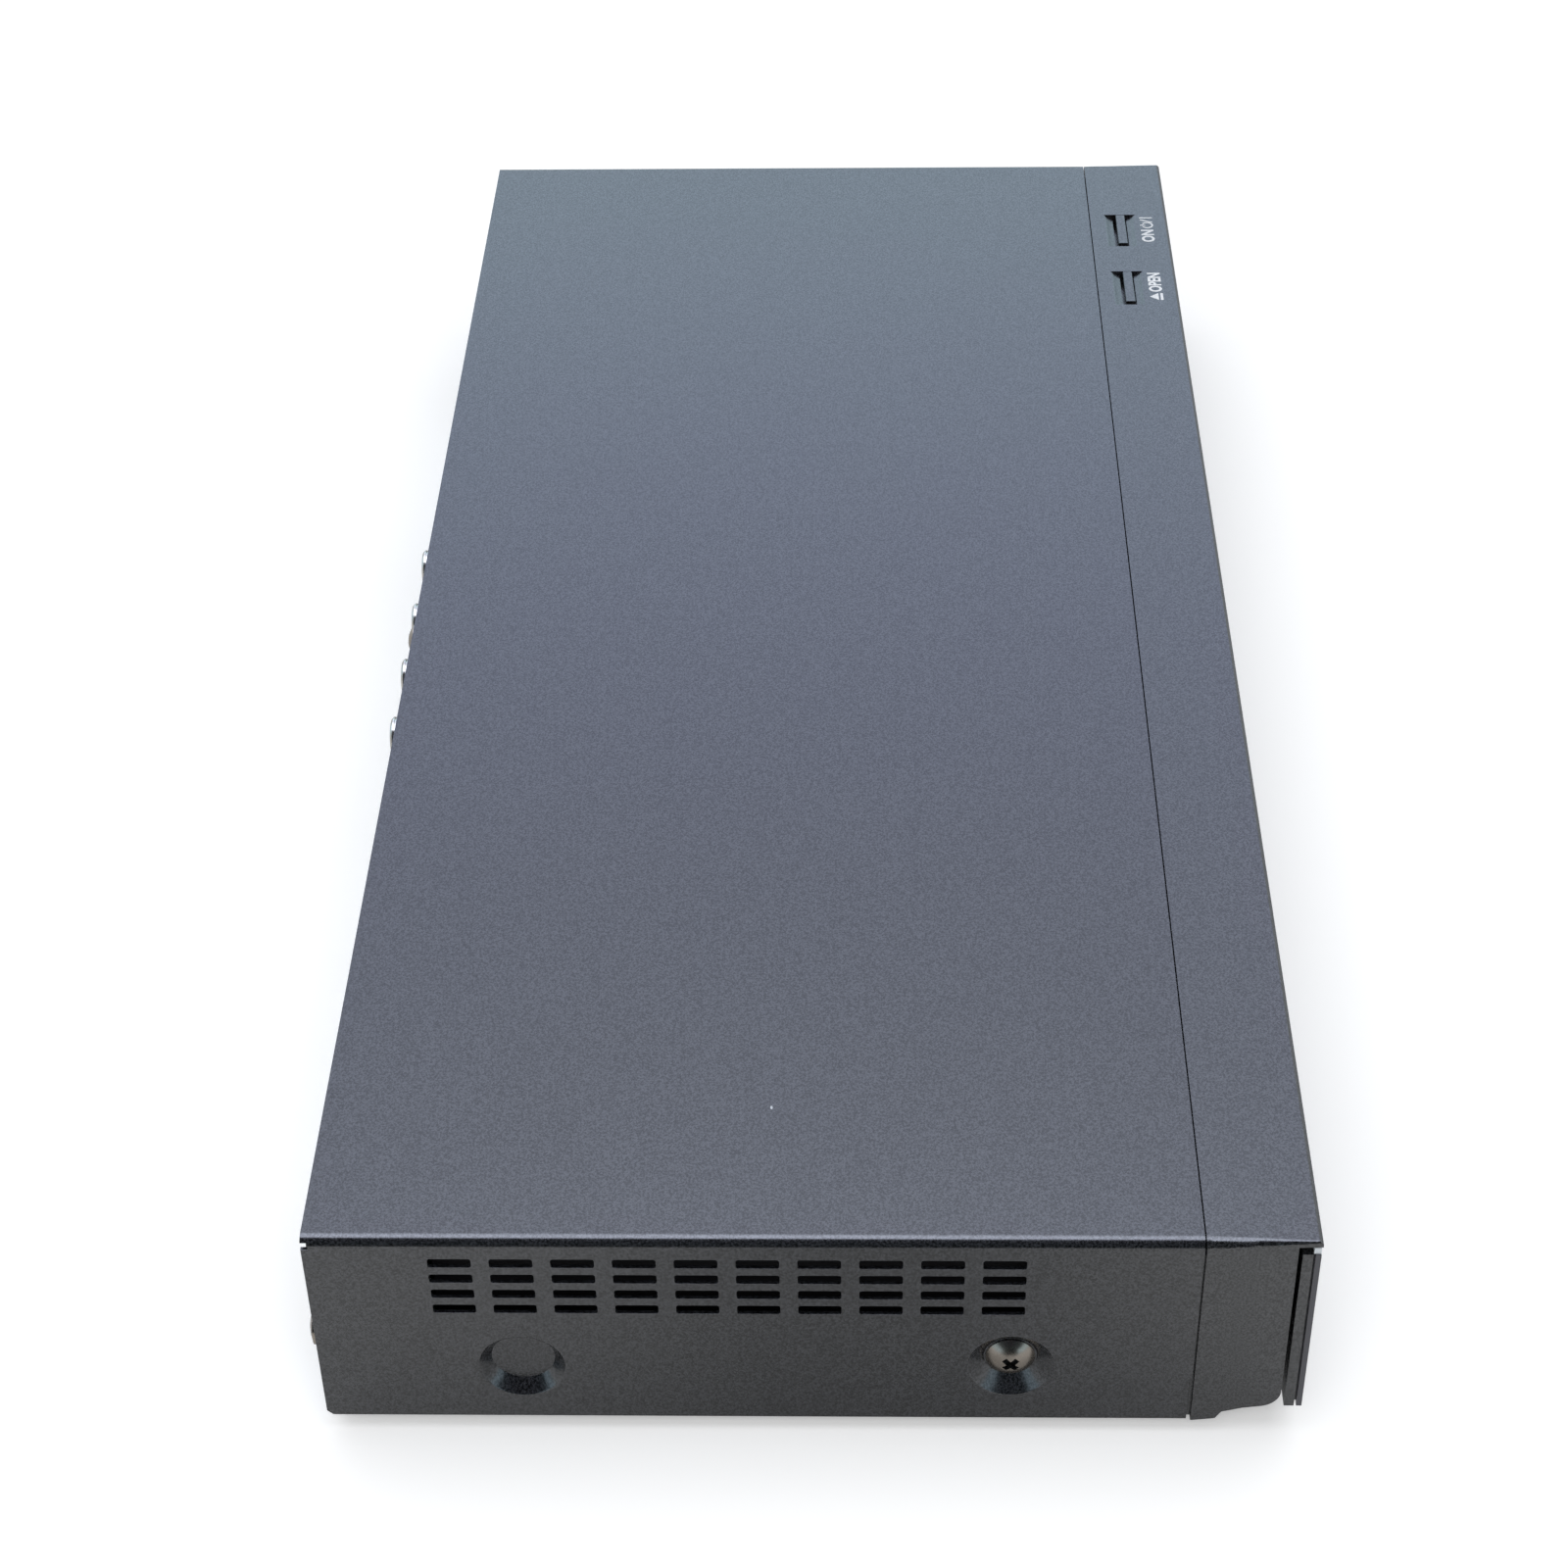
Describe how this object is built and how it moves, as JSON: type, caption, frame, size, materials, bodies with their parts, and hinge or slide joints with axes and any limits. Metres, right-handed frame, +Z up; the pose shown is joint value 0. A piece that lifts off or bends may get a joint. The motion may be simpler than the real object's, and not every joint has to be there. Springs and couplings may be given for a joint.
{
  "type": "disc recorder",
  "caption": "Low wide disc recorder in a vented dark steel case, with a disc tray and a card flap behind its smoked front and keys on top.",
  "frame": {"origin": "under the middle of the whole recorder, on the surface that it stands on", "axes": "-Y is the front with the disc tray, +X is to the right of someone who faces the front, +Z is up"},
  "size_m": [0.43, 0.2022, 0.0555],
  "materials": {
    "cover_coat": "satin, fine speckle",
    "plated_steel": "zinc plated",
    "foot_plastic": "moulded",
    "foot_rubber": "matt",
    "black_screws": "black oxide",
    "steel_screws": "plated",
    "bezel_plastic": "fine texture",
    "black_plastic": "moulded",
    "smoked_window": "polished",
    "clear_strip": "polished",
    "key_plastic": "satin",
    "natural_plastic": "moulded",
    "circuit_board": "lacquered",
    "socket_metal": "plated",
    "belt_rubber": "matt",
    "motor_steel": "plated",
    "drive_steel": "plain",
    "motor_brass": "turned",
    "sled_plastic": "moulded",
    "lens_glass": "polished",
    "table_plastic": "moulded",
    "disk_casting": "cast",
    "chip_epoxy": "moulded",
    "sink_aluminium": "anodised",
    "supply_parts": "mixed",
    "tin_plate": "tinned",
    "nickel": "nickel plated",
    "jack_plastic": "moulded",
    "flat_cable": "flexible"
  },
  "bodies": {
    "casing": {"top_cover": "cover_coat", "chassis_base": "plated_steel", "rear_panel": "plated_steel", "drive_cover": "plated_steel", "disk_bracket": "plated_steel", "feet": "foot_plastic", "foot_pads": "foot_rubber", "side_screws": "black_screws", "rear_screws": "black_screws", "board_screws": "steel_screws", "board_posts": "steel_screws", "front_bezel": "bezel_plastic", "front_backing": "black_plastic", "drive_chassis": "black_plastic", "fan_frame": "black_plastic", "switches": "black_plastic", "display_unit": "black_plastic", "front_window": "smoked_window", "light_strip": "clear_strip", "key_board": "circuit_board", "front_board": "circuit_board", "main_board": "circuit_board", "power_board": "circuit_board", "card_socket": "socket_metal", "front_usb": "socket_metal", "rear_sockets": "socket_metal", "loading_belt": "belt_rubber", "loading_motor": "motor_steel", "hard_disk": "disk_casting", "chips": "chip_epoxy", "heat_sink": "sink_aluminium", "power_parts": "supply_parts", "tuner_cans": "tin_plate", "aerial_connectors": "nickel", "audio_jacks": "jack_plastic", "mains_inlet": "jack_plastic", "flat_cables": "flat_cable"},
    "tray": {"disc_tray": "black_plastic", "tray_lid": "black_plastic", "tray_lid_window": "smoked_window"},
    "tray_drive_gear": {"tray_gear": "natural_plastic"},
    "belt_pulley_gear": {"pulley_gear": "natural_plastic"},
    "loading_motor_pulley": {"motor_pulley": "motor_brass"},
    "traverse": {"traverse_frame": "drive_steel", "guide_rods": "drive_steel", "sled_motor": "motor_steel", "spindle_motor": "motor_steel"},
    "slider": {"lift_slider": "natural_plastic"},
    "sled": {"pickup_sled": "sled_plastic", "pickup_lens": "lens_glass"},
    "sled_screw": {"lead_screw": "drive_steel"},
    "table": {"turntable": "table_plastic"},
    "clamper": {"disc_clamper": "black_plastic"},
    "rotor": {"fan_rotor": "black_plastic"},
    "power": {"power_key": "key_plastic", "power_plunger": "natural_plastic"},
    "eject": {"eject_key": "key_plastic", "eject_plunger": "natural_plastic"},
    "flap": {"flap_door": "black_plastic", "flap_window": "smoked_window"}
  },
  "joints": [
    {"name": "tray_slide", "type": "slide", "parent": "casing", "child": "tray", "axis": [0, -1, 0], "range_m": [0, 0.133]},
    {"name": "tray_gear_spin", "type": "hinge", "parent": "casing", "child": "tray_drive_gear", "pos_m": [-0.086, -0.072, 0.024], "axis": [0, 0, 1], "range_deg": [-953, 0]},
    {"name": "pulley_gear_spin", "type": "hinge", "parent": "casing", "child": "belt_pulley_gear", "pos_m": [-0.1028, -0.072, 0.018], "axis": [0, 0, 1], "range_deg": [0, 2382]},
    {"name": "motor_pulley_spin", "type": "hinge", "parent": "casing", "child": "loading_motor_pulley", "pos_m": [-0.1328, -0.072, 0.015], "axis": [0, 0, 1], "range_deg": [0, 7940]},
    {"name": "traverse_lift", "type": "hinge", "parent": "casing", "child": "traverse", "pos_m": [-0.13, 0.048, 0.0185], "axis": [1, 0, 0], "range_deg": [0, 3.67]},
    {"name": "lift_slider_slide", "type": "slide", "parent": "casing", "child": "slider", "axis": [1, 0, 0], "range_m": [0, 0.0151]},
    {"name": "sled_slide", "type": "slide", "parent": "traverse", "child": "sled", "axis": [0, 1, 0], "range_m": [0, 0.035]},
    {"name": "lead_screw_spin", "type": "hinge", "parent": "traverse", "child": "sled_screw", "pos_m": [-0.0955, 0.02, 0.022], "axis": [0, 1, 0], "range_deg": [0, 4202]},
    {"name": "turntable_spin", "type": "hinge", "parent": "traverse", "child": "table", "pos_m": [-0.13, -0.03, 0.035], "axis": [0, 0, 1], "continuous": true},
    {"name": "clamper_spin", "type": "hinge", "parent": "casing", "child": "clamper", "pos_m": [-0.13, -0.03, 0.04], "axis": [0, 0, 1], "continuous": true},
    {"name": "fan_spin", "type": "hinge", "parent": "casing", "child": "rotor", "pos_m": [0.07925, 0.0882, 0.0324], "axis": [0, 1, 0], "continuous": true},
    {"name": "power_press", "type": "slide", "parent": "casing", "child": "power", "axis": [0, 0, -1], "range_m": [0, 0.0006], "stiffness_N_per_m": 400, "springref_m": -0.0005},
    {"name": "eject_press", "type": "slide", "parent": "casing", "child": "eject", "axis": [0, 0, -1], "range_m": [0, 0.0006], "stiffness_N_per_m": 400, "springref_m": -0.0005},
    {"name": "flap_hinge", "type": "hinge", "parent": "casing", "child": "flap", "pos_m": [0.148, -0.09825, 0.0094], "axis": [1, 0, 0], "range_deg": [0, 90]}
  ],
  "couplings": [
    {"joint": "tray_gear_spin", "follows": "tray_slide", "rad_per_m": -125},
    {"joint": "pulley_gear_spin", "follows": "tray_slide", "rad_per_m": 312.5},
    {"joint": "motor_pulley_spin", "follows": "tray_slide", "rad_per_m": 1041.7},
    {"joint": "lift_slider_slide", "follows": "traverse_lift", "m_per_rad": 0.23384},
    {"joint": "lead_screw_spin", "follows": "sled_slide", "rad_per_m": 2094.4},
    {"joint": "clamper_spin", "follows": "turntable_spin", "ratio": 1}
  ]
}
